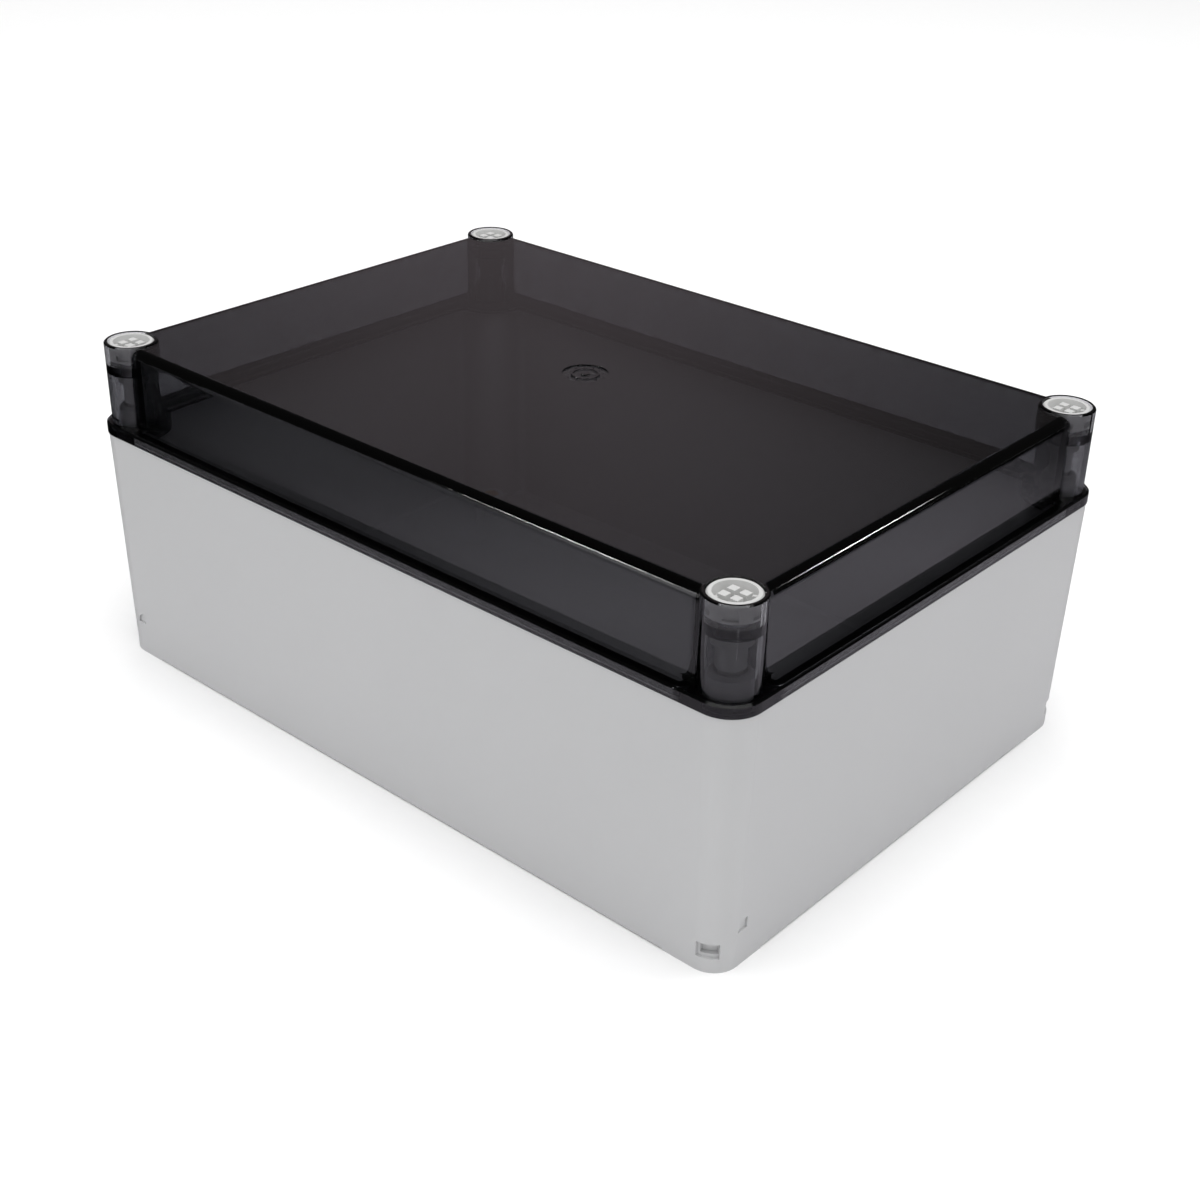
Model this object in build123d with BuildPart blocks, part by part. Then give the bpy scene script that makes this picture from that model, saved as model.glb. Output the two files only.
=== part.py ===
from build123d import *
from math import cos, radians, sin, tan
import os

# Junction box with a light grey moulded base and a high smoked lid held by four
# quarter-turn screws. Millimetres, long side along X, +Z up, origin at the middle
# of the surface that the box stands on.

# Lid flange, the widest outline of the box
FLANGE_LENGTH = 254.0
FLANGE_WIDTH = 176.2
FLANGE_THICKNESS = 3.6
FLANGE_CORNER_RADIUS = 9.8
FLANGE_CHAMFER = 0.6

# Base shell
BASE_HEIGHT = 77.6
BASE_WALL = 3.2
BASE_FLOOR = 3.0
BASE_DRAFT = 1.2
FLANGE_OVERHANG = 0.3
SEAM_GAP = 0.1
CAVITY_CORNER_RADIUS = 1.6
SHOULDER_RADIUS = 3.4
FLOOR_CHAMFER = 1.0

# Lid shell
LID_HEIGHT = 28.7
LID_WALL = 3.0
LID_TOP_WALL = 3.0
LID_DRAFT = 1.0
LID_STEP = 4.4
LID_TOP_RADIUS = 3.2
LID_CORNER_RADIUS = 5.4

# Seal: a tongue on the base rim presses into a strip in the lid's groove
SEAL_INSET = 2.3
SEAL_POST_RADIUS = 8.7
TONGUE_WIDTH = 1.2
TONGUE_HEIGHT = 0.8
GASKET_WIDTH = 2.3
GASKET_HEIGHT = 1.6
GROOVE_CLEARANCE = 0.05
GROOVE_WALL = 1.0

# Screw posts of the lid
SCREW_INSET = 9.95
POST_RADIUS = 8.27
POST_PROUD = 0.5
POST_EDGE_CHAMFER = 0.4
POST_WEB = 3.2
POST_HOLLOW_CLEARANCE = 0.5

# Screw pillars of the base
PILLAR_RADIUS = 5.8
PILLAR_GAP = 7.8
PILLAR_CHAMFER = 0.9
BORE_CLEARANCE = 0.3
FIXING_SEAT_HEIGHT = 8.0
FIXING_HOLE_RADIUS = 2.6

# Quarter-turn lid screw
HEAD_RADIUS = 6.85
HEAD_HEIGHT = 6.2
HEAD_SUNK = 0.3
HEAD_CLEARANCE = 0.3
HEAD_SEAT_RISE = 1.2
HEAD_RIM_RADIUS = 0.4
CUP_RADIUS = 5.5
CUP_DEPTH = 2.6
CUP_TAPER = 8.0
DRIVE_ANGLE = 0.0
DRIVE_BLOCK = 2.3
DRIVE_SLOT = 1.3
DRIVE_BLOCK_SUNK = 0.5
DRIVE_WEB_WIDTH = 0.9
DRIVE_WEB_HEIGHT = 1.3
HEAD_WINDOW_COUNT = 6
HEAD_WINDOW_WIDTH = 3.6
HEAD_WINDOW_HEIGHT = 1.7
HEAD_WINDOW_DEPTH = 0.9
HEAD_WINDOW_DROP = 4.4
NECK_RADIUS = 3.9
STEM_RADIUS = 3.0
SCREW_REACH = 27.0
LUG_LENGTH = 3.6
LUG_WIDTH = 3.4

# Retaining ring that keeps each screw in its post
RING_RADIUS = 5.3
RING_HEIGHT = 2.2
RING_CLEARANCE = 0.05
RING_PLAY = 0.3
RING_SPLIT = 1.2

# Corner windows and marks of the base
WINDOW_START = -85.0
WINDOW_SWEEP = 45.0
WINDOW_BOTTOM = 4.5
WINDOW_HEIGHT = 4.7
WINDOW_STEP_DEPTH = 0.8
WINDOW_DEPTH = 2.2
WINDOW_LEDGE = 1.1
WINDOW_LEDGE_ANGLE = 6.0
MARK_SIZE = 3.6
MARK_DEPTH = 0.6
MARK_HEIGHT = 11.3
MARK_OFFSET = 3.0

# Corner feet
FOOT_LENGTH = 20.0
FOOT_WIDTH = 20.0
FOOT_HEIGHT = 0.5

# Mounting bosses inside the base
BOSS_INSET_X = 27.0
BOSS_INSET_Y = 28.1
BOSS_RADIUS = 4.6
BOSS_HEIGHT = 9.0
BOSS_RIB_LENGTH = 4.0
BOSS_RIB_WIDTH = 1.4
BOSS_RIB_DROP = 3.0
INSERT_RADIUS = 2.8
INSERT_LENGTH = 6.5
INSERT_BORE_RADIUS = 1.65
INSERT_CLEARANCE = 0.03

# Gate disc in the middle of the lid
GATE_DISC_RADIUS = 7.0
GATE_DISC_DEPTH = 0.4
GATE_RING_RADIUS = 4.4
GATE_RING_WIDTH = 0.7
GATE_NUB_RADIUS = 1.4

# Places and heights that follow from the sizes above
SCREW_X = FLANGE_LENGTH / 2 - SCREW_INSET
SCREW_Y = FLANGE_WIDTH / 2 - SCREW_INSET
CORNERS = {
    "front_right": (1, -1, 0),
    "back_right": (1, 1, 90),
    "back_left": (-1, 1, 180),
    "front_left": (-1, -1, 270),
}
SEAM_Z = BASE_HEIGHT + SEAM_GAP
FLANGE_TOP_Z = SEAM_Z + FLANGE_THICKNESS
LID_TOP_Z = SEAM_Z + LID_HEIGHT
POST_TOP_Z = LID_TOP_Z + POST_PROUD
GASKET_Z = BASE_HEIGHT + TONGUE_HEIGHT + SEAM_GAP
GROOVE_TOP_Z = GASKET_Z + GASKET_HEIGHT
GROOVE_WIDTH = GASKET_WIDTH + 2 * GROOVE_CLEARANCE
HEAD_TOP_Z = POST_TOP_Z - HEAD_SUNK
HEAD_SEAT_Z = HEAD_TOP_Z - HEAD_HEIGHT
POCKET_FLOOR_Z = HEAD_SEAT_Z - HEAD_CLEARANCE
POCKET_RADIUS = HEAD_RADIUS + HEAD_CLEARANCE
WEB_BOTTOM_Z = POCKET_FLOOR_Z - POST_WEB
BORE_RADIUS = NECK_RADIUS + BORE_CLEARANCE
HOLLOW_RADIUS = PILLAR_RADIUS + POST_HOLLOW_CLEARANCE
RING_TOP_Z = WEB_BOTTOM_Z - RING_PLAY
PILLAR_TOP_Z = RING_TOP_Z - RING_HEIGHT - PILLAR_GAP
PILLAR_RISE = PILLAR_TOP_Z - BASE_HEIGHT
HEAD_WINDOW_Z = HEAD_TOP_Z - HEAD_WINDOW_DROP
SCREW_TIP_Z = PILLAR_TOP_Z - SCREW_REACH
SCREW_POINTS = [(sx * SCREW_X, sy * SCREW_Y) for sx, sy, _ in CORNERS.values()]
BOSS_SPACING_X = FLANGE_LENGTH - 2 * BOSS_INSET_X
BOSS_SPACING_Y = FLANGE_WIDTH - 2 * BOSS_INSET_Y


def notched_plan(inset, reach, blend):
    """Rectangle inset from the flange edge, with a round-cornered notch that
    passes each screw centre at the distance reach."""
    half_length = FLANGE_LENGTH / 2 - inset
    half_width = FLANGE_WIDTH / 2 - inset
    side = SCREW_INSET + reach
    with BuildSketch() as plan:
        Rectangle(2 * half_length, 2 * half_width)
        with GridLocations(FLANGE_LENGTH - side, FLANGE_WIDTH - side, 2, 2):
            Rectangle(side, side, mode=Mode.SUBTRACT)
        points = plan.vertices()
        notch = points.filter_by(lambda v: abs(v.X) < half_length - 0.01
                                 and abs(v.Y) < half_width - 0.01)
        fillet(notch, reach)
        points = plan.vertices()
        shoulders = points.filter_by(lambda v: abs(abs(v.Y) - (SCREW_Y - reach)) < 0.01
                                     and abs(v.X) > half_length - 0.01
                                     or abs(abs(v.X) - (SCREW_X - reach)) < 0.01
                                     and abs(v.Y) > half_width - 0.01)
        fillet(shoulders, blend)
    return plan.sketch


def seal_plan(width):
    """Flat strip of the given width that follows the seal line round the box."""
    outer = notched_plan(SEAL_INSET - width / 2, SEAL_POST_RADIUS - width / 2,
                         CAVITY_CORNER_RADIUS + width / 2)
    inner = notched_plan(SEAL_INSET + width / 2, SEAL_POST_RADIUS + width / 2,
                         CAVITY_CORNER_RADIUS - width / 2)
    with BuildSketch() as strip:
        add(outer)
        add(inner, mode=Mode.SUBTRACT)
    return strip.sketch


def wall_lean(height):
    """How far the drafted base wall stands in from its rim at a height."""
    return (BASE_HEIGHT - height) * tan(radians(BASE_DRAFT))


def upright_plane(x, y, angle=0.0):
    """Plane that stands on the point (x, y), its X pointing along the heading."""
    heading = radians(angle)
    return Plane(origin=(x, y, 0), x_dir=(cos(heading), sin(heading), 0),
                 z_dir=(sin(heading), -cos(heading), 0))


def window_cutter(sx, sy, start, sweep, depth, bottom, height):
    """Pocket that runs round a corner of the base, cut from outside."""
    skin = SCREW_INSET - FLANGE_OVERHANG - wall_lean(bottom)
    with BuildPart() as cutter:
        with BuildSketch(upright_plane(sx * SCREW_X, sy * SCREW_Y, start)):
            with Locations((skin - depth, bottom)):
                Rectangle(2 * depth, height, align=(Align.MIN, Align.MIN))
        revolve(axis=Axis((sx * SCREW_X, sy * SCREW_Y, 0), (0, 0, 1)),
                revolution_arc=sweep)
    return cutter.part


def mark_cutter(sx, sy, turn):
    """Quarter disc sunk into the side wall just past a corner."""
    out = (round(cos(radians(turn))), round(sin(radians(turn))))
    skin = SCREW_INSET - FLANGE_OVERHANG - wall_lean(MARK_HEIGHT) - MARK_DEPTH
    origin = (sx * SCREW_X + out[0] * skin - abs(out[1]) * sx * MARK_OFFSET,
              sy * SCREW_Y + out[1] * skin - abs(out[0]) * sy * MARK_OFFSET,
              MARK_HEIGHT)
    with BuildPart() as cutter:
        with BuildSketch(Plane(origin=origin, x_dir=(-out[1], out[0], 0),
                               z_dir=(out[0], out[1], 0))):
            Circle(MARK_SIZE)
            Rectangle(MARK_SIZE, MARK_SIZE, align=(Align.MAX, Align.MIN),
                      mode=Mode.INTERSECT)
        extrude(amount=3 * MARK_DEPTH)
    return cutter.part


def build_base():
    """Moulded base: drafted shell, seal tongue, screw pillars, feet and bosses."""
    wall_face = FLANGE_OVERHANG + BASE_WALL
    cavity = notched_plan(wall_face, SEAL_POST_RADIUS + wall_face - SEAL_INSET,
                          SHOULDER_RADIUS)
    tongue = seal_plan(TONGUE_WIDTH)
    recesses = []
    for sx, sy, turn in CORNERS.values():
        start = WINDOW_START + turn
        recesses.append(window_cutter(sx, sy, start, WINDOW_SWEEP, WINDOW_STEP_DEPTH,
                                      WINDOW_BOTTOM, WINDOW_HEIGHT))
        recesses.append(window_cutter(sx, sy, start + WINDOW_LEDGE_ANGLE,
                                      WINDOW_SWEEP - WINDOW_LEDGE_ANGLE, WINDOW_DEPTH,
                                      WINDOW_BOTTOM + WINDOW_LEDGE,
                                      WINDOW_HEIGHT - WINDOW_LEDGE))
        recesses.append(mark_cutter(sx, sy, turn))
    with BuildPart() as base:
        with BuildSketch(Plane.XY.offset(BASE_HEIGHT)):
            RectangleRounded(FLANGE_LENGTH - 2 * FLANGE_OVERHANG,
                             FLANGE_WIDTH - 2 * FLANGE_OVERHANG,
                             FLANGE_CORNER_RADIUS - FLANGE_OVERHANG)
        extrude(amount=-BASE_HEIGHT, taper=BASE_DRAFT)
        with BuildSketch(Plane.XY.offset(BASE_HEIGHT)):
            add(cavity)
        extrude(amount=BASE_FLOOR - BASE_HEIGHT, taper=BASE_DRAFT, mode=Mode.SUBTRACT)
        floor = base.faces().filter_by_position(Axis.Z, BASE_FLOOR - 0.01, BASE_FLOOR + 0.01)
        chamfer(floor.edges(), FLOOR_CHAMFER)

        # Screw pillars rise above the rim into the lid's posts
        with BuildSketch(Plane.XY.offset(BASE_HEIGHT)):
            with Locations(*SCREW_POINTS):
                Circle(PILLAR_RADIUS)
        extrude(amount=PILLAR_RISE)
        chamfer(base.faces().group_by(Axis.Z)[-1].edges(), PILLAR_CHAMFER)
        with BuildSketch(Plane.XY.offset(BASE_HEIGHT)):
            add(tongue)
        extrude(amount=TONGUE_HEIGHT)

        # Bore for the lid screw, with the wall fixing hole at its foot
        with BuildSketch(Plane.XY.offset(PILLAR_TOP_Z)):
            with Locations(*SCREW_POINTS):
                Circle(BORE_RADIUS)
        extrude(amount=FIXING_SEAT_HEIGHT - PILLAR_TOP_Z, mode=Mode.SUBTRACT)
        with BuildSketch():
            with Locations(*SCREW_POINTS):
                Circle(FIXING_HOLE_RADIUS)
        extrude(amount=FIXING_SEAT_HEIGHT, mode=Mode.SUBTRACT)

        # Ribbed bosses that hold the brass inserts
        with BuildSketch(Plane.XY.offset(BASE_FLOOR)):
            with GridLocations(BOSS_SPACING_X, BOSS_SPACING_Y, 2, 2):
                Rectangle(2 * (BOSS_RADIUS + BOSS_RIB_LENGTH), BOSS_RIB_WIDTH)
                Rectangle(BOSS_RIB_WIDTH, 2 * (BOSS_RADIUS + BOSS_RIB_LENGTH))
        extrude(amount=BOSS_HEIGHT - BOSS_RIB_DROP)
        with BuildSketch(Plane.XY.offset(BASE_FLOOR)):
            with GridLocations(BOSS_SPACING_X, BOSS_SPACING_Y, 2, 2):
                Circle(BOSS_RADIUS)
        extrude(amount=BOSS_HEIGHT)
        with BuildSketch(Plane.XY.offset(BASE_FLOOR + BOSS_HEIGHT)):
            with GridLocations(BOSS_SPACING_X, BOSS_SPACING_Y, 2, 2):
                Circle(INSERT_RADIUS + INSERT_CLEARANCE)
        extrude(amount=-INSERT_LENGTH, mode=Mode.SUBTRACT)

        # The underside stands on its four corners only
        with BuildSketch():
            Rectangle(FLANGE_LENGTH - 2 * FOOT_LENGTH, FLANGE_WIDTH)
            Rectangle(FLANGE_LENGTH, FLANGE_WIDTH - 2 * FOOT_WIDTH)
        extrude(amount=FOOT_HEIGHT, mode=Mode.SUBTRACT)

        # Stepped window round each corner, and the mark on the wall after it
        for recess in recesses:
            add(recess, mode=Mode.SUBTRACT)
    return base


def build_lid_hood():
    """Drafted hood of the lid above its flange, with the rounded top edge."""
    with BuildPart() as hood:
        with BuildSketch(Plane.XY.offset(FLANGE_TOP_Z)):
            RectangleRounded(FLANGE_LENGTH - 2 * LID_STEP, FLANGE_WIDTH - 2 * LID_STEP,
                             LID_CORNER_RADIUS)
        extrude(amount=LID_TOP_Z - FLANGE_TOP_Z, taper=LID_DRAFT)
        fillet(hood.faces().sort_by(Axis.Z)[-1].edges(), LID_TOP_RADIUS)
    return hood.part


def build_lid():
    """High lid: flange, drafted hood, corner posts with screw pockets, seal groove."""
    wall_face = LID_STEP + LID_WALL
    hood = build_lid_hood()
    flange_opening = notched_plan(wall_face, SEAL_POST_RADIUS + GROOVE_WIDTH / 2 + GROOVE_WALL,
                                  CAVITY_CORNER_RADIUS)
    hood_cavity = notched_plan(wall_face, POST_RADIUS, CAVITY_CORNER_RADIUS)
    groove = seal_plan(GROOVE_WIDTH)
    with BuildPart() as lid:
        with BuildSketch(Plane.XY.offset(SEAM_Z)):
            RectangleRounded(FLANGE_LENGTH, FLANGE_WIDTH, FLANGE_CORNER_RADIUS)
        extrude(amount=FLANGE_THICKNESS)
        chamfer(lid.faces().sort_by(Axis.Z)[-1].edges(), FLANGE_CHAMFER)
        add(hood)

        # Corner posts stand a little proud of the lid's top
        with BuildSketch(Plane.XY.offset(SEAM_Z)):
            with Locations(*SCREW_POINTS):
                Circle(POST_RADIUS)
        extrude(amount=POST_TOP_Z - SEAM_Z)
        chamfer(lid.faces().group_by(Axis.Z)[-1].edges(), POST_EDGE_CHAMFER)

        # Hollow of the hood, wider below where the flange carries the seal
        with BuildSketch(Plane.XY.offset(SEAM_Z)):
            add(flange_opening)
        extrude(amount=FLANGE_THICKNESS, mode=Mode.SUBTRACT)
        with BuildSketch(Plane.XY.offset(FLANGE_TOP_Z)):
            add(hood_cavity)
        extrude(amount=LID_TOP_Z - LID_TOP_WALL - FLANGE_TOP_Z, mode=Mode.SUBTRACT)
        with BuildSketch(Plane.XY.offset(SEAM_Z)):
            add(groove)
        extrude(amount=GROOVE_TOP_Z - SEAM_Z, mode=Mode.SUBTRACT)

        # Each post: pocket for the head, web with the neck hole, hollow for the pillar
        with BuildSketch(Plane.XY.offset(POST_TOP_Z)):
            with Locations(*SCREW_POINTS):
                Circle(POCKET_RADIUS)
        extrude(amount=POCKET_FLOOR_Z - POST_TOP_Z, mode=Mode.SUBTRACT)
        with BuildSketch(Plane.XY.offset(POCKET_FLOOR_Z)):
            with Locations(*SCREW_POINTS):
                Circle(BORE_RADIUS)
        extrude(amount=-POST_WEB, mode=Mode.SUBTRACT)
        with BuildSketch(Plane.XY.offset(WEB_BOTTOM_Z)):
            with Locations(*SCREW_POINTS):
                Circle(HOLLOW_RADIUS)
        extrude(amount=SEAM_Z - WEB_BOTTOM_Z, mode=Mode.SUBTRACT)

        # Gate disc sunk in the middle of the top, with its ring and nub
        with BuildSketch(Plane.XY.offset(LID_TOP_Z)):
            Circle(GATE_DISC_RADIUS)
            Circle(GATE_RING_RADIUS, mode=Mode.SUBTRACT)
            Circle(GATE_RING_RADIUS - GATE_RING_WIDTH)
            Circle(GATE_NUB_RADIUS, mode=Mode.SUBTRACT)
        extrude(amount=-GATE_DISC_DEPTH, mode=Mode.SUBTRACT)
    return lid


def build_gasket():
    """Soft strip that lies in the lid's groove, over the tongue of the base."""
    strip = seal_plan(GASKET_WIDTH)
    with BuildPart() as gasket:
        with BuildSketch(Plane.XY.offset(GASKET_Z)):
            add(strip)
        extrude(amount=GASKET_HEIGHT)
    return gasket


def build_screw(x, y):
    """Quarter-turn screw: cup head with four drive blocks, neck, stem and two lugs."""
    neck_end = PILLAR_TOP_Z
    block_reach = DRIVE_SLOT / 2 + DRIVE_BLOCK
    cup_floor = HEAD_TOP_Z - CUP_DEPTH
    with BuildPart() as screw:
        with BuildSketch(upright_plane(x, y)):
            with BuildLine():
                Polyline(
                    (0, SCREW_TIP_Z),
                    (STEM_RADIUS, SCREW_TIP_Z),
                    (STEM_RADIUS, neck_end),
                    (NECK_RADIUS, neck_end + NECK_RADIUS - STEM_RADIUS),
                    (NECK_RADIUS, HEAD_SEAT_Z),
                    (HEAD_RADIUS, HEAD_SEAT_Z + HEAD_SEAT_RISE),
                    (HEAD_RADIUS, HEAD_TOP_Z - HEAD_RIM_RADIUS),
                    (HEAD_RADIUS - HEAD_RIM_RADIUS, HEAD_TOP_Z),
                    (0, HEAD_TOP_Z),
                    close=True,
                )
            make_face()
        revolve(axis=Axis((x, y, 0), (0, 0, 1)))

        # Cup in the head, with the four drive blocks and their two webs left standing
        with BuildSketch(Plane(origin=(x, y, HEAD_TOP_Z))):
            Circle(CUP_RADIUS)
        extrude(amount=-CUP_DEPTH, taper=CUP_TAPER, mode=Mode.SUBTRACT)
        with BuildSketch(Plane(origin=(x, y, cup_floor), x_dir=(cos(radians(DRIVE_ANGLE)),
                                                               sin(radians(DRIVE_ANGLE)), 0))):
            with GridLocations(DRIVE_SLOT + DRIVE_BLOCK, DRIVE_SLOT + DRIVE_BLOCK, 2, 2):
                Rectangle(DRIVE_BLOCK, DRIVE_BLOCK)
        extrude(amount=CUP_DEPTH - DRIVE_BLOCK_SUNK)
        with BuildSketch(Plane(origin=(x, y, cup_floor),
                               x_dir=(cos(radians(DRIVE_ANGLE + 45)),
                                      sin(radians(DRIVE_ANGLE + 45)), 0))):
            with GridLocations(block_reach + CUP_RADIUS, 0, 2, 1):
                Rectangle(CUP_RADIUS - block_reach, DRIVE_WEB_WIDTH)
        extrude(amount=DRIVE_WEB_HEIGHT)

        # Windows round the side of the head
        with BuildSketch(Plane(origin=(x, y, HEAD_WINDOW_Z))):
            with PolarLocations(HEAD_RADIUS, HEAD_WINDOW_COUNT):
                Rectangle(2 * HEAD_WINDOW_DEPTH, HEAD_WINDOW_WIDTH)
        extrude(amount=HEAD_WINDOW_HEIGHT, mode=Mode.SUBTRACT)

        # Two lugs at the tip
        with BuildSketch(Plane(origin=(x, y, SCREW_TIP_Z))):
            Circle(NECK_RADIUS)
            Rectangle(2 * NECK_RADIUS, LUG_WIDTH, mode=Mode.INTERSECT)
        extrude(amount=LUG_LENGTH)
    return screw


def build_retainer(x, y):
    """Split ring pushed on to the neck under the post's web."""
    with BuildPart() as ring:
        with BuildSketch(Plane(origin=(x, y, RING_TOP_Z - RING_HEIGHT))):
            Circle(RING_RADIUS)
            Circle(NECK_RADIUS + RING_CLEARANCE, mode=Mode.SUBTRACT)
            with Locations((0, RING_RADIUS)):
                Rectangle(RING_SPLIT, 2 * RING_RADIUS, mode=Mode.SUBTRACT)
        extrude(amount=RING_HEIGHT)
    return ring


def build_insert(x, y):
    """Brass insert pressed flush into a mounting boss."""
    with BuildPart() as insert:
        with BuildSketch(Plane(origin=(x, y, BASE_FLOOR + BOSS_HEIGHT))):
            Circle(INSERT_RADIUS)
            Circle(INSERT_BORE_RADIUS, mode=Mode.SUBTRACT)
        extrude(amount=-INSERT_LENGTH)
    return insert


def save(piece, name):
    """Label a finished piece and write it as its own STEP file."""
    piece.part.label = name
    export_step(piece.part, f"parts/{name}.step")


os.makedirs("parts", exist_ok=True)
save(build_base(), "base")
save(build_lid(), "lid")
save(build_gasket(), "lid_gasket")
for corner, (sx, sy, _) in CORNERS.items():
    save(build_screw(sx * SCREW_X, sy * SCREW_Y), f"lid_screw_{corner}")
    save(build_retainer(sx * SCREW_X, sy * SCREW_Y), f"screw_retainer_{corner}")
    save(build_insert(sx * BOSS_SPACING_X / 2, sy * BOSS_SPACING_Y / 2),
         f"mounting_insert_{corner}")
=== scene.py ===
import logging
import math
from dataclasses import dataclass
from enum import Enum
from functools import cache

import bmesh
import bpy
from mathutils import Matrix, Vector


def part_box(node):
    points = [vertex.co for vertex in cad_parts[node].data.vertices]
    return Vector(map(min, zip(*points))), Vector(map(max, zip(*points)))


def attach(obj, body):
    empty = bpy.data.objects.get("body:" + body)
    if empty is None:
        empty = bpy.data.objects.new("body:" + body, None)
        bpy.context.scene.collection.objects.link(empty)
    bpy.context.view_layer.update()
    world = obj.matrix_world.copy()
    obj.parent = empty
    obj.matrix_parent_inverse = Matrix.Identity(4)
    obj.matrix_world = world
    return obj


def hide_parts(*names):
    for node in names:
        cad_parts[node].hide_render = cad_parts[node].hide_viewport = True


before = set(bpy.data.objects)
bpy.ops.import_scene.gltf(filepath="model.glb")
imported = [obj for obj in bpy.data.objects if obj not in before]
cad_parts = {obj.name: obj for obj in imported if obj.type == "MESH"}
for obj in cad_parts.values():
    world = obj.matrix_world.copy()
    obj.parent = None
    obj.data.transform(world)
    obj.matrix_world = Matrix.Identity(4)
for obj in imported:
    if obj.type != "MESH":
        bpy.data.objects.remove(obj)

# Junction box: finishes for the moulded base, the smoked lid and its screws, the threads
# and fine moulded marks that are too small for the frame, and the floor, lamps and camera.

log = logging.getLogger("junction_box")
CORNERS = ("front_right", "back_right", "back_left", "front_left")
RAYS = ("camera", "diffuse", "glossy", "transmission", "shadow")
Colour = tuple[float, float, float, float]
Point = tuple[float, float, float]


@dataclass(frozen=True)
class Wire:
    """A value socket that adds Math nodes when it is used in an expression."""

    desk: "Desk"
    socket: bpy.types.NodeSocket

    def _with(self, operation: str, left: "Wire | float", right: "Wire | float") -> "Wire":
        """Join two values with one Math node.

        Args:
            operation: The Math node's operation.
            left: A wire or a number.
            right: A wire or a number.

        Returns:
            The wire of the result.
        """
        return self.desk.make("ShaderNodeMath", {"operation": operation}, {0: left, 1: right})

    def __add__(self, other: "Wire | float") -> "Wire":
        """Sum of this wire and another value."""
        return self._with("ADD", self, other)

    def __radd__(self, other: "Wire | float") -> "Wire":
        """Sum with this wire on the right."""
        return self._with("ADD", other, self)

    def __sub__(self, other: "Wire | float") -> "Wire":
        """Difference of this wire and another value."""
        return self._with("SUBTRACT", self, other)

    def __rsub__(self, other: "Wire | float") -> "Wire":
        """Difference with this wire on the right."""
        return self._with("SUBTRACT", other, self)

    def __mul__(self, other: "Wire | float") -> "Wire":
        """Product of this wire and another value."""
        return self._with("MULTIPLY", self, other)

    def __rmul__(self, other: "Wire | float") -> "Wire":
        """Product with this wire on the right."""
        return self._with("MULTIPLY", other, self)

    def over(self, limit: float) -> "Wire":
        """1 where this wire is above a limit, else 0."""
        return self._with("GREATER_THAN", self, limit)


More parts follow.
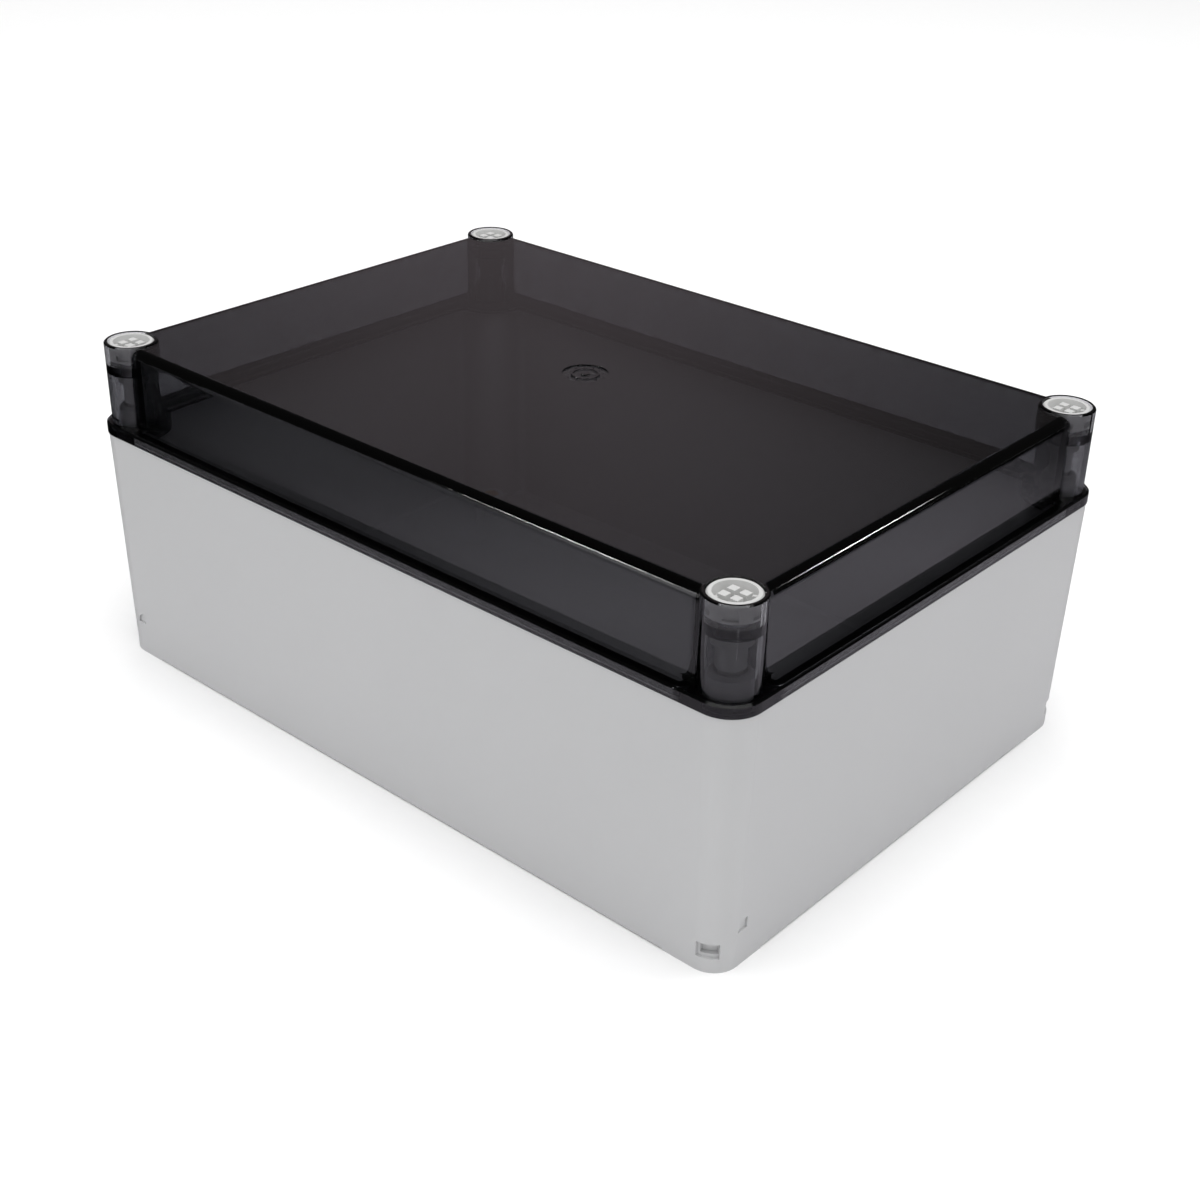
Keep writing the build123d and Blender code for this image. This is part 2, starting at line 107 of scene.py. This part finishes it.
class Desk:
    """One node tree of a material or the world, with the single method that adds its nodes."""

    def __init__(self, owner: bpy.types.Material | bpy.types.World | bpy.types.Light) -> None:
        """Start with an empty tree.

        Args:
            owner: The material, world or lamp that the nodes belong to.
        """
        self.owner = owner
        self.owner.use_nodes = True
        self.tree = self.owner.node_tree
        self.tree.nodes.clear()

    @classmethod
    def for_material(cls, name: str) -> "Desk":
        """Start a new material.

        Args:
            name: The material's name.

        Returns:
            The desk with the material's empty tree.
        """
        return cls(bpy.data.materials.new(name))

    def make(self, kind: str, settings: dict[str, object] | None = None,
             inputs: dict[str | int, object] | None = None, output: str | int = 0) -> Wire:
        """Add a node, set it up and feed it.

        Args:
            kind: The node's type.
            settings: Properties that are set first; "stops" sets a ramp's colours.
            inputs: Values or wires by socket name or number.
            output: Name or number of the socket to return.

        Returns:
            The wire of the chosen output, or of the first input where a node has no output.
        """
        node = self.tree.nodes.new(kind)
        for key, value in (settings or {}).items():
            if key == "stops":
                self._set_stops(node.color_ramp, value)
            else:
                setattr(node, key, value)
        for key, value in (inputs or {}).items():
            if isinstance(value, Wire):
                self.tree.links.new(value.socket, node.inputs[key])
            else:
                node.inputs[key].default_value = value
        sockets = node.outputs if node.outputs else node.inputs
        return Wire(self, sockets[output])

    @staticmethod
    def _set_stops(ramp: bpy.types.ColorRamp, stops: list[tuple[float, tuple]]) -> None:
        """Give a colour ramp its stops.

        Args:
            ramp: The ramp to fill.
            stops: Position and colour of each stop, in order.
        """
        while len(ramp.elements) < len(stops):
            ramp.elements.new(0.5)
        for element, (position, colour) in zip(ramp.elements, stops):
            element.position = position
            element.color = colour

    def place(self) -> Wire:
        """The object's own coordinates in metres."""
        return self.make("ShaderNodeTexCoord", output="Object")

    def along(self, way: Wire, heading: Point) -> Wire:
        """How far a direction points along a heading.

        Args:
            way: The vector wire.
            heading: The heading, one metre long.

        Returns:
            The wire of their dot product.
        """
        return self.make("ShaderNodeVectorMath", {"operation": "DOT_PRODUCT"},
                         {0: way, 1: heading}, "Value")

    def distance(self, place: Wire, centre: Point) -> Wire:
        """How far a place lies from a centre.

        Args:
            place: The vector wire.
            centre: The centre.

        Returns:
            The wire of the distance.
        """
        return self.make("ShaderNodeVectorMath", {"operation": "DISTANCE"},
                         {0: place, 1: centre}, "Value")

    def noise(self, size: float, detail: float = 2.0, roughness: float = 0.5) -> Wire:
        """Noise whose blotches are about size metres across.

        Args:
            size: Width of one blotch in metres.
            detail: Number of finer layers.
            roughness: Strength of the finer layers.

        Returns:
            The noise value, around 0.5.
        """
        return self.make("ShaderNodeTexNoise", {"noise_dimensions": "3D"},
                         {"Vector": self.place(), "Scale": 1.0 / size, "Detail": detail,
                          "Roughness": roughness}, "Fac")

    def blend(self, share: Wire, first: Colour | Wire, second: Colour | Wire) -> Wire:
        """Mix two colours.

        Args:
            share: How much of the second colour, from 0 to 1.
            first: The first colour or wire.
            second: The second colour or wire.

        Returns:
            The mixed colour.
        """
        return self.make("ShaderNodeMix", {"data_type": "RGBA"},
                         {0: share, 6: first, 7: second}, 2)

    def ease(self, value: Wire, start: float, end: float) -> Wire:
        """Rise smoothly from 0 to 1 while a value goes from start to end.

        Args:
            value: The wire that is followed.
            start: Value up to which the result is 0.
            end: Value from which the result is 1.

        Returns:
            The eased wire.
        """
        return self.make("ShaderNodeMapRange", {"interpolation_type": "SMOOTHSTEP"}, {
            "Value": value, "From Min": start, "From Max": end})

    def bump(self, height: Wire, distance: float, strength: float = 1.0) -> Wire:
        """Turn a height into a bumped normal.

        Args:
            height: Wire of the height, from 0 to 1.
            distance: Real height of a value of 1, in metres.
            strength: Share of the effect.

        Returns:
            The normal wire.
        """
        return self.make("ShaderNodeBump", inputs={"Height": height, "Distance": distance,
                                                   "Strength": strength})

    def surface(self, sockets: dict[str, object]) -> bpy.types.Material:
        """Finish the material with one Principled shader.

        Args:
            sockets: Values or wires of the shader's sockets.

        Returns:
            The finished material.
        """
        shader = self.make("ShaderNodeBsdfPrincipled", inputs=sockets)
        self.make("ShaderNodeOutputMaterial", inputs={"Surface": shader})
        return self.owner


@dataclass(frozen=True)
class MouldedPlastic:
    """Opaque moulded plastic with a fine spark-eroded grain."""

    name: str
    colour: Colour
    shade: Colour
    roughness: float = 0.42
    grain: float = 0.00035
    grain_height: float = 0.000012
    cloud: float = 0.06
    cloud_share: float = 0.7
    cloud_dulling: float = 0.08
    grain_dulling: float = 0.06
    ior: float = 1.5

    def build(self) -> bpy.types.Material:
        """Build the node material and return it."""
        desk = Desk.for_material(self.name)
        cloud = desk.noise(self.cloud, detail=3.0, roughness=0.6)
        speck = desk.noise(self.grain, detail=3.0, roughness=0.65)
        share = cloud * self.cloud_share + speck * (1.0 - self.cloud_share)
        lowest = self.roughness - (self.cloud_dulling + self.grain_dulling) / 2
        dulling = cloud * self.cloud_dulling + speck * self.grain_dulling
        return desk.surface({
            "Base Color": desk.blend(share, self.colour, self.shade),
            "Roughness": dulling + lowest,
            "IOR": self.ior,
            "Normal": desk.bump(speck, self.grain_height),
        })


@dataclass(frozen=True)
class SmokedPlastic:
    """Polished see-through plastic, tinted grey all the way through."""

    name: str
    tint: Colour = (0.92, 0.91, 0.93, 1.0)
    body: Colour = (0.236, 0.240, 0.265, 1.0)
    density: float = 680.0
    roughness: float = 0.012
    ior: float = 1.585
    wave: float = 0.05
    wave_height: float = 0.00002
    wave_strength: float = 0.6
    dust: float = 0.0009
    dust_limit: float = 0.76
    dust_dulling: float = 0.08

    def build(self) -> bpy.types.Material:
        """Build the node material and return it."""
        desk = Desk.for_material(self.name)
        wave = desk.noise(self.wave, detail=1.0, roughness=0.4)
        dust = desk.noise(self.dust, detail=4.0, roughness=0.7)
        shader = desk.make("ShaderNodeBsdfPrincipled", inputs={
            "Base Color": self.tint,
            "Roughness": dust.over(self.dust_limit) * self.dust_dulling + self.roughness,
            "IOR": self.ior,
            "Transmission Weight": 1.0,
            "Normal": desk.bump(wave, self.wave_height, self.wave_strength),
        })
        absorb = desk.make("ShaderNodeVolumeAbsorption", inputs={
            "Color": self.body, "Density": self.density})
        desk.make("ShaderNodeOutputMaterial", inputs={"Surface": shader, "Volume": absorb})
        return desk.owner


@dataclass(frozen=True)
class SoftRubber:
    """Black foamed seal with a matt skin."""

    name: str = "seal_rubber"
    dark: Colour = (0.012, 0.012, 0.013, 1.0)
    light: Colour = (0.030, 0.030, 0.032, 1.0)
    pore: float = 0.0006
    pore_height: float = 0.00005
    smoothest: float = 0.6
    dulling: float = 0.2

    def build(self) -> bpy.types.Material:
        """Build the node material and return it."""
        desk = Desk.for_material(self.name)
        pores = desk.noise(self.pore, detail=4.0, roughness=0.7)
        return desk.surface({
            "Base Color": desk.blend(pores, self.dark, self.light),
            "Roughness": pores * self.dulling + self.smoothest,
            "Normal": desk.bump(pores, self.pore_height),
        })


@dataclass(frozen=True)
class TurnedBrass:
    """Brass with the rings that a lathe leaves and a little tarnish."""

    name: str = "turned_brass"
    bright: Colour = (0.78, 0.56, 0.25, 1.0)
    stained: Colour = (0.55, 0.37, 0.16, 1.0)
    stain: float = 0.002
    smoothest: float = 0.22
    dulling: float = 0.2
    turns_per_metre: float = 900.0
    turn_height: float = 0.00001
    wobble: float = 0.4

    def build(self) -> bpy.types.Material:
        """Build the node material and return it."""
        desk = Desk.for_material(self.name)
        tarnish = desk.noise(self.stain, detail=4.0, roughness=0.6)
        rings = desk.make("ShaderNodeTexWave", {"wave_type": "BANDS", "bands_direction": "Z"},
                          {"Vector": desk.place(), "Scale": self.turns_per_metre,
                           "Distortion": self.wobble}, "Fac")
        return desk.surface({
            "Base Color": desk.blend(tarnish, self.bright, self.stained),
            "Metallic": 1.0,
            "Roughness": tarnish * self.dulling + self.smoothest,
            "Normal": desk.bump(rings, self.turn_height),
        })


@dataclass(frozen=True)
class StudioPaper:
    """Pale paper that the box stands on."""

    name: str = "studio_paper"
    dark: Colour = (0.90, 0.90, 0.90, 1.0)
    light: Colour = (0.92, 0.92, 0.92, 1.0)
    fibre: float = 0.01

    def build(self) -> bpy.types.Material:
        """Build the node material and return it."""
        desk = Desk.for_material(self.name)
        fibre = desk.noise(self.fibre, detail=3.0, roughness=0.6)
        return desk.surface({
            "Base Color": desk.blend(fibre, self.dark, self.light),
            "Roughness": 0.9,
            "Specular IOR Level": 0.1,
        })


@dataclass(frozen=True)
class PaleBackdrop:
    """Evenly lit paper wall behind the box."""

    name: str = "pale_backdrop"
    dark: Colour = (0.98, 0.98, 0.98, 1.0)
    light: Colour = (1.0, 1.0, 1.0, 1.0)
    fibre: float = 0.05

    def build(self) -> bpy.types.Material:
        """Build the node material and return it."""
        desk = Desk.for_material(self.name)
        fibre = desk.noise(self.fibre, detail=3.0, roughness=0.6)
        paper = desk.surface({
            "Base Color": (0.0, 0.0, 0.0, 1.0),
            "Roughness": 1.0,
            "Specular IOR Level": 0.0,
            "Emission Color": desk.blend(fibre, self.dark, self.light),
            "Emission Strength": 1.0,
        })
        paper.cycles.emission_sampling = "NONE"
        return paper


@dataclass(frozen=True)
class PaintedShadeSheet:
    """Black sheet seen only in reflections: painted reflected shade that darkens the floor's
    reflection, thinning out towards the pool of light round the box.
    """

    name: str = "painted_reflected_shade"
    centre: Point = (0.12, -0.05, 0.0)
    reach: float = 0.5
    # Tint of the floor's reflection where the sheet is clear: a painted reflection colour.
    clear: Colour = (0.94, 0.89, 1.0, 1.0)
    # How much painted shade the sheet lays over the reflection, by distance from the centre as a
    # share of the reach.
    stops: tuple[tuple[float, float], ...] = (
        (0.0, 0.64), (0.45, 0.64), (0.53, 0.72), (0.61, 0.77), (0.69, 0.91), (0.84, 0.995))

    def build(self) -> bpy.types.Material:
        """Build the node material and return it."""
        desk = Desk.for_material(self.name)
        away = desk.distance(desk.place(), self.centre)
        # Share of painted shade at this point of the sheet.
        painted_shade_share = desk.make("ShaderNodeValToRGB", {
            "stops": [(at, (grey, grey, grey, 1.0)) for at, grey in self.stops]},
            {"Fac": away * (1.0 / self.reach)}, "Color")
        # Clear part passes the tinted floor reflection; the black part is the painted shade.
        clear = desk.make("ShaderNodeBsdfTransparent", inputs={"Color": self.clear})
        black = desk.make("ShaderNodeBsdfDiffuse", inputs={"Color": (0.0, 0.0, 0.0, 1.0)})
        desk.make("ShaderNodeOutputMaterial", inputs={
            "Surface": desk.make("ShaderNodeMixShader", inputs={0: painted_shade_share, 1: clear, 2: black})})
        return desk.owner


class Finish(Enum):
    """The finishes of the box, each built once."""

    BASE_GREY = MouldedPlastic("base_moulding", (0.500, 0.502, 0.506, 1), (0.470, 0.473, 0.481, 1))
    LID_SMOKE = SmokedPlastic("smoked_moulding")
    SCREW_GREY = MouldedPlastic("screw_moulding", (0.59, 0.59, 0.583, 1), (0.53, 0.53, 0.525, 1),
                                0.36, 0.0003, 0.000006)
    RETAINER_GREY = MouldedPlastic("retainer_moulding", (0.62, 0.62, 0.61, 1),
                                   (0.56, 0.56, 0.555, 1), 0.4, 0.0003, 0.000006)
    GASKET_BLACK = SoftRubber()
    INSERT_BRASS = TurnedBrass()
    PAPER = StudioPaper()
    BACKDROP = PaleBackdrop()
    PAINTED_REFLECTED_SHADE = PaintedShadeSheet()

    @cache
    def material(self) -> bpy.types.Material:
        """The finish's node material, built the first time it is asked for."""
        return self.value.build()


def dress(node: str, finish: Finish) -> None:
    """Give a piece of the frame its finish and report it.

    Args:
        node: Name of the frame's piece.
        finish: The finish it gets.
    """
    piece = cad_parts[node]
    piece.data.materials.clear()
    piece.data.materials.append(finish.material())
    log.info("%s: %s", node, finish.value.name)


def settle(name: str, shape: bmesh.types.BMesh, finish: Finish, body: str) -> bpy.types.Object:
    """Turn a finished shape into a piece that rides on a body.

    Args:
        name: The piece's name.
        shape: Its shape in metres, in place; it is freed.
        finish: What it is made of.
        body: The body that it rides on.

    Returns:
        The new piece.
    """
    bmesh.ops.remove_doubles(shape, verts=shape.verts, dist=1e-7)
    bmesh.ops.recalc_face_normals(shape, faces=shape.faces)
    mesh = bpy.data.meshes.new(name)
    shape.to_mesh(mesh)
    shape.free()
    mesh.materials.append(finish.material())
    piece = bpy.data.objects.new(name, mesh)
    bpy.context.scene.collection.objects.link(piece)
    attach(piece, body)
    log.info("%s: %d faces, %s", name, len(mesh.polygons), finish.value.name)
    return piece


def add_bar(shape: bmesh.types.BMesh, size: Point, place: Vector,
            turn: float, edge: float) -> None:
    """Add one small bar with softened edges.

    Args:
        shape: The shape that it goes into.
        size: Its length, width and height in metres.
        place: Its middle.
        turn: Its heading in radians.
        edge: Width of the softened edge.
    """
    bar = bmesh.new()
    bmesh.ops.create_cube(bar, size=1.0)
    bmesh.ops.scale(bar, vec=size, verts=bar.verts)
    bmesh.ops.bevel(bar, geom=bar.edges[:], offset=edge, offset_type="OFFSET", segments=2,
                    profile=0.5, affect="EDGES", material=-1)
    bmesh.ops.transform(bar, matrix=Matrix.Translation(place) @ Matrix.Rotation(turn, 4, "Z"),
                        verts=bar.verts)
    part = bpy.data.meshes.new("bar")
    bar.to_mesh(part)
    bar.free()
    shape.from_mesh(part)
    bpy.data.meshes.remove(part)


@dataclass(frozen=True)
class ThreadedInsert:
    """A brass insert with a chamfered mouth and the rings of its thread."""

    corner: str
    radius: float = 0.0028
    core: float = 0.00165
    root: float = 0.00198
    pitch: float = 0.0007
    chamfer: float = 0.0003
    steps: int = 36

    def build(self) -> None:
        """Turn the insert's profile and put it in the place of the plain one."""
        node = f"mounting_insert_{self.corner}"
        low, high = (Vector(corner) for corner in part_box(node))
        middle = (low + high) / 2
        points = [(self.radius, low.z), (self.radius, high.z - self.chamfer),
                  (self.radius - self.chamfer, high.z), (self.root + self.chamfer, high.z)]
        height = high.z - self.chamfer
        while height - self.pitch > low.z:
            points += [(self.root, height), (self.core, height - self.pitch / 2)]
            height -= self.pitch
        points.append((self.root, low.z))
        turned = bmesh.new()
        corners = [turned.verts.new((middle.x + r, middle.y, z)) for r, z in points]
        rim = [turned.edges.new(pair) for pair in zip(corners, corners[1:] + corners[:1])]
        bmesh.ops.spin(turned, geom=corners + rim, cent=(middle.x, middle.y, 0.0),
                       axis=(0.0, 0.0, 1.0), angle=math.tau, steps=self.steps,
                       use_merge=True)
        piece = settle(f"threaded_insert_{self.corner}", turned, Finish.INSERT_BRASS, "base")
        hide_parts(node)


@dataclass(frozen=True)
class GateTicks:
    """The ring of small raised ticks round the gate disc of the lid."""

    count: int = 12
    middle: float = 0.0056
    floor: float = 0.1060
    size: Point = (0.0011, 0.00028, 0.00034)
    edge: float = 0.00006
    showing: float = 0.35
    pointer: Point = (0.0019, 0.0004, 0.00034)
    pointer_reach: float = 0.0024
    pointer_turn: float = 0.5
    pointer_lean: float = 0.95
    pointer_edge: float = 0.00008

    def build(self) -> None:
        """Model the ticks and the pointer inside the ring."""
        ticks = bmesh.new()
        height = self.floor + self.size[2] * self.showing
        for number in range(self.count):
            turn = math.tau * (number + 0.5) / self.count
            place = Vector((math.cos(turn) * self.middle, math.sin(turn) * self.middle, height))
            add_bar(ticks, self.size, place, turn, self.edge)
        for side in (1, -1):
            place = Vector((self.pointer_reach, 0.0, height))
            place.rotate(Matrix.Rotation(side * self.pointer_turn, 3, "Z"))
            add_bar(ticks, self.pointer, place, side * self.pointer_lean, self.pointer_edge)
        settle("gate_ticks", ticks, Finish.LID_SMOKE, "lid")


@dataclass(frozen=True)
class PartingLines:
    """Fine upright lines that the mould leaves on the outside of each lid post."""

    post: float = 0.00827
    flange: float = 0.0098
    width: float = 0.00016
    proud: float = 0.00005
    edge: float = 0.00003
    spans: tuple[tuple[float, float], ...] = ((0.0925, 0.1060), (0.0782, 0.0806))

    def build(self) -> None:
        """Model the line of each post and of the flange below it."""
        for corner in CORNERS:
            low, high = (Vector(end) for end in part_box(f"lid_screw_{corner}"))
            middle = (low + high) / 2
            way = math.atan2(math.copysign(1.0, middle.y), math.copysign(1.0, middle.x))
            line = bmesh.new()
            for reach, (bottom, top) in zip((self.post, self.flange), self.spans):
                out = reach + self.proud - self.width / 2
                place = Vector((middle.x + math.cos(way) * out, middle.y + math.sin(way) * out,
                                (bottom + top) / 2))
                add_bar(line, (self.width, self.width, top - bottom), place, way, self.edge)
            settle(f"parting_line_{corner}", line, Finish.LID_SMOKE, "lid")


@dataclass
class BaseHousing:
    """The light grey base with its brass inserts."""

    node: str = "base"
    inserts: tuple[ThreadedInsert, ...] = tuple(ThreadedInsert(corner) for corner in CORNERS)

    def build(self) -> None:
        """Dress the housing and model the inserts in its floor."""
        dress(self.node, Finish.BASE_GREY)
        for insert in self.inserts:
            dress(f"mounting_insert_{insert.corner}", Finish.INSERT_BRASS)
            insert.build()


@dataclass
class SmokedLid:
    """The high smoked lid and the seal under its flange."""

    node: str = "lid"
    seal: str = "lid_gasket"
    ticks: GateTicks = GateTicks()
    lines: PartingLines = PartingLines()

    def build(self) -> None:
        """Dress the lid and its seal, and model the lid's fine marks."""
        dress(self.node, Finish.LID_SMOKE)
        dress(self.seal, Finish.GASKET_BLACK)
        self.ticks.build()
        self.lines.build()


@dataclass
class LidScrews:
    """The four quarter-turn screws and the rings that hold them in the lid."""

    corners: tuple[str, ...] = CORNERS

    def build(self) -> None:
        """Dress each screw and its ring."""
        for corner in self.corners:
            dress(f"lid_screw_{corner}", Finish.SCREW_GREY)
            dress(f"screw_retainer_{corner}", Finish.RETAINER_GREY)


@dataclass(frozen=True)
class SoftBox:
    """One flat studio lamp."""

    name: str
    place: Point
    aim: Point
    size: tuple[float, float]
    power: float
    mirrored: bool = True
    faded: bool = False


@dataclass
class Studio:
    """Paper floor, pale surroundings, a sheet of painted reflected shade, soft lamps and the
    camera.
    """

    floor_size: float = 16.0
    shade_card_size: float = 6.0
    shade_card_height: float = 0.0004
    wall_radius: float = 1.5
    wall_height: float = 1.6
    near_sky: Colour = (0.80, 0.80, 0.80, 1.0)
    far_sky: Colour = (0.03, 0.03, 0.03, 1.0)
    back_glow: Colour = (0.205, 0.176, 0.188, 1.0)
    far_heading: float = 131.0
    far_edge: tuple[float, float] = (-0.22, -0.16)
    glow_top: tuple[float, float] = (0.50, 0.60)
    glow_heading: float = 133.5
    glow_spread: float = 24.0
    lamps: tuple[SoftBox, ...] = (
        SoftBox("lamp_top", (0.0, 0.1, 3.0), (0.0, 0.0, 0.0), (3.6, 3.0), 109.0,
                mirrored=False),
        SoftBox("lamp_left", (-0.646, -0.935, 0.550), (0.07, -0.084, 0.10), (0.32, 0.11), 3.3,
                faded=True),
        SoftBox("lamp_right", (0.798, 0.889, 0.495), (0.123, -0.023, 0.104), (0.21, 0.11), 3.3,
                faded=True),
        SoftBox("fill_left", (-0.646, -0.935, 0.550), (0.07, -0.084, 0.10), (0.4, 0.3), 1.4,
                mirrored=False),
        SoftBox("fill_right", (0.798, 0.889, 0.495), (0.123, -0.023, 0.104), (0.4, 0.3), 1.9,
                mirrored=False),
        SoftBox("lamp_inside", (0.0, 0.0, 0.0770), (0.0, 0.0, 0.0), (0.215, 0.145), 0.052,
                mirrored=False),
    )
    lens: float = 53.405
    camera_place: Point = (0.33114, -0.37203, 0.30045)
    camera_right: Point = (0.74736, 0.66411, 0.02040)
    camera_up: Point = (-0.33090, 0.34539, 0.87819)

    def build(self) -> None:
        """Set up everything round the box."""
        self._set_up("studio_floor", self._sheet(self.floor_size, 0.0), Finish.PAPER, RAYS)
        # Painted reflected shade: a sheet that only reflections see, darkening the reflected floor
        # away from the box.
        self._set_up("painted_shade_card", self._sheet(self.shade_card_size, self.shade_card_height),
                     Finish.PAINTED_REFLECTED_SHADE, ("glossy",))
        self._set_up("studio_wall", self._wall(), Finish.BACKDROP, ("camera",))
        self._sky()
        for lamp in self.lamps:
            self._lamp(lamp)
        self._camera()
        bpy.context.scene.view_settings.view_transform = "Standard"

    @staticmethod
    def _sheet(size: float, height: float) -> bmesh.types.BMesh:
        """Lay a square sheet flat under the box.

        Args:
            size: Length of its side in metres.
            height: Its height over the floor in metres.

        Returns:
            The sheet's shape.
        """
        flat = bmesh.new()
        bmesh.ops.create_grid(flat, x_segments=1, y_segments=1, size=size / 2,
                              matrix=Matrix.Translation((0.0, 0.0, height)))
        return flat

    def _wall(self) -> bmesh.types.BMesh:
        """Bend a wall round the floor and return its shape."""
        wall = bmesh.new()
        bmesh.ops.create_cone(wall, cap_ends=False, segments=96, radius1=self.wall_radius,
                              radius2=self.wall_radius, depth=self.wall_height,
                              matrix=Matrix.Translation((0.0, 0.0, self.wall_height / 2)))
        return wall

    @staticmethod
    def _set_up(name: str, shape: bmesh.types.BMesh, finish: Finish,
                seen_by: tuple[str, ...]) -> None:
        """Stand a part of the studio in its place.

        Args:
            name: Its name.
            shape: Its shape in metres, in place; it is freed.
            finish: What it is made of.
            seen_by: The kinds of ray that meet it.
        """
        mesh = bpy.data.meshes.new(name)
        shape.to_mesh(mesh)
        shape.free()
        mesh.materials.append(finish.material())
        part = bpy.data.objects.new(name, mesh)
        bpy.context.scene.collection.objects.link(part)
        for kind in RAYS:
            setattr(part, f"visible_{kind}", kind in seen_by)
        log.info("%s: %s", name, finish.value.name)

    def _sky(self) -> None:
        """Light the room from all round, dimmer where the room lies behind the box."""
        world = bpy.data.worlds.new("studio_room")
        desk = Desk(world)
        heading = math.radians(self.far_heading)
        way = desk.make("ShaderNodeTexCoord", output="Generated")
        behind = desk.along(way, (math.cos(heading), math.sin(heading), 0.0))
        upward = desk.along(way, (0.0, 0.0, 1.0))
        turn = desk.make("ShaderNodeMath", {"operation": "ARCTAN2"}, {
            0: desk.along(way, (0.0, 1.0, 0.0)), 1: desk.along(way, (1.0, 0.0, 0.0))})
        aside = desk.make("ShaderNodeMath", {"operation": "ABSOLUTE"}, {
            0: turn - math.radians(self.glow_heading)})
        room = desk.blend(desk.ease(behind, *self.far_edge), self.near_sky, self.far_sky)
        low = 1.0 - desk.ease(upward, *self.glow_top)
        share = (1.0 - desk.ease(aside, 0.0, math.radians(self.glow_spread))) * low
        glow = desk.make("ShaderNodeBackground", inputs={
            "Color": desk.blend(share, room, self.back_glow)})
        desk.make("ShaderNodeOutputWorld", inputs={"Surface": glow})
        bpy.context.scene.world = world

    def _lamp(self, lamp: SoftBox) -> None:
        """Hang one soft lamp.

        Args:
            lamp: Its size, place and power.
        """
        data = bpy.data.lights.new(lamp.name, "AREA")
        data.shape = "RECTANGLE"
        data.size, data.size_y = lamp.size
        data.energy = lamp.power
        light = bpy.data.objects.new(lamp.name, data)
        bpy.context.scene.collection.objects.link(light)
        light.location = lamp.place
        toward = Vector(lamp.aim) - Vector(lamp.place)
        light.rotation_euler = toward.to_track_quat("-Z", "Y").to_euler()
        light.visible_camera = False
        light.visible_glossy = lamp.mirrored
        light.visible_transmission = lamp.mirrored
        if lamp.faded:
            self._fade(data)
        log.info("%s %.2f W", lamp.name, lamp.power)

    @staticmethod
    def _fade(data: bpy.types.AreaLight) -> None:
        """Let a lamp grow dimmer from its middle to its edge, as a lamp behind cloth does.

        Args:
            data: The lamp.
        """
        desk = Desk(data)
        across = desk.make("ShaderNodeTexCoord", output="UV")
        away = desk.distance(across, (0.5, 0.5, 0.0))
        cloth = desk.make("ShaderNodeEmission", inputs={
            "Strength": 1.0 - desk.ease(away, 0.0, 0.5)})
        desk.make("ShaderNodeOutputLight", inputs={"Surface": cloth})

    def _camera(self) -> None:
        """Stand the camera where the photograph was taken from."""
        data = bpy.data.cameras.new("camera")
        data.sensor_width = 36.0
        data.lens = self.lens
        data.clip_start = 0.01
        camera = bpy.data.objects.new("camera", data)
        bpy.context.scene.collection.objects.link(camera)
        right, up = Vector(self.camera_right), Vector(self.camera_up)
        turn = Matrix((right, up, right.cross(up))).transposed()
        camera.matrix_world = Matrix.Translation(self.camera_place) @ turn.to_4x4()
        bpy.context.scene.camera = camera


def main() -> None:
    """Build the scene in order."""
    logging.basicConfig(level=logging.INFO, format="%(name)s: %(message)s")
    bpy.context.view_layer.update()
    Studio().build()
    BaseHousing().build()
    SmokedLid().build()
    LidScrews().build()


if __name__ == "__main__":
    main()
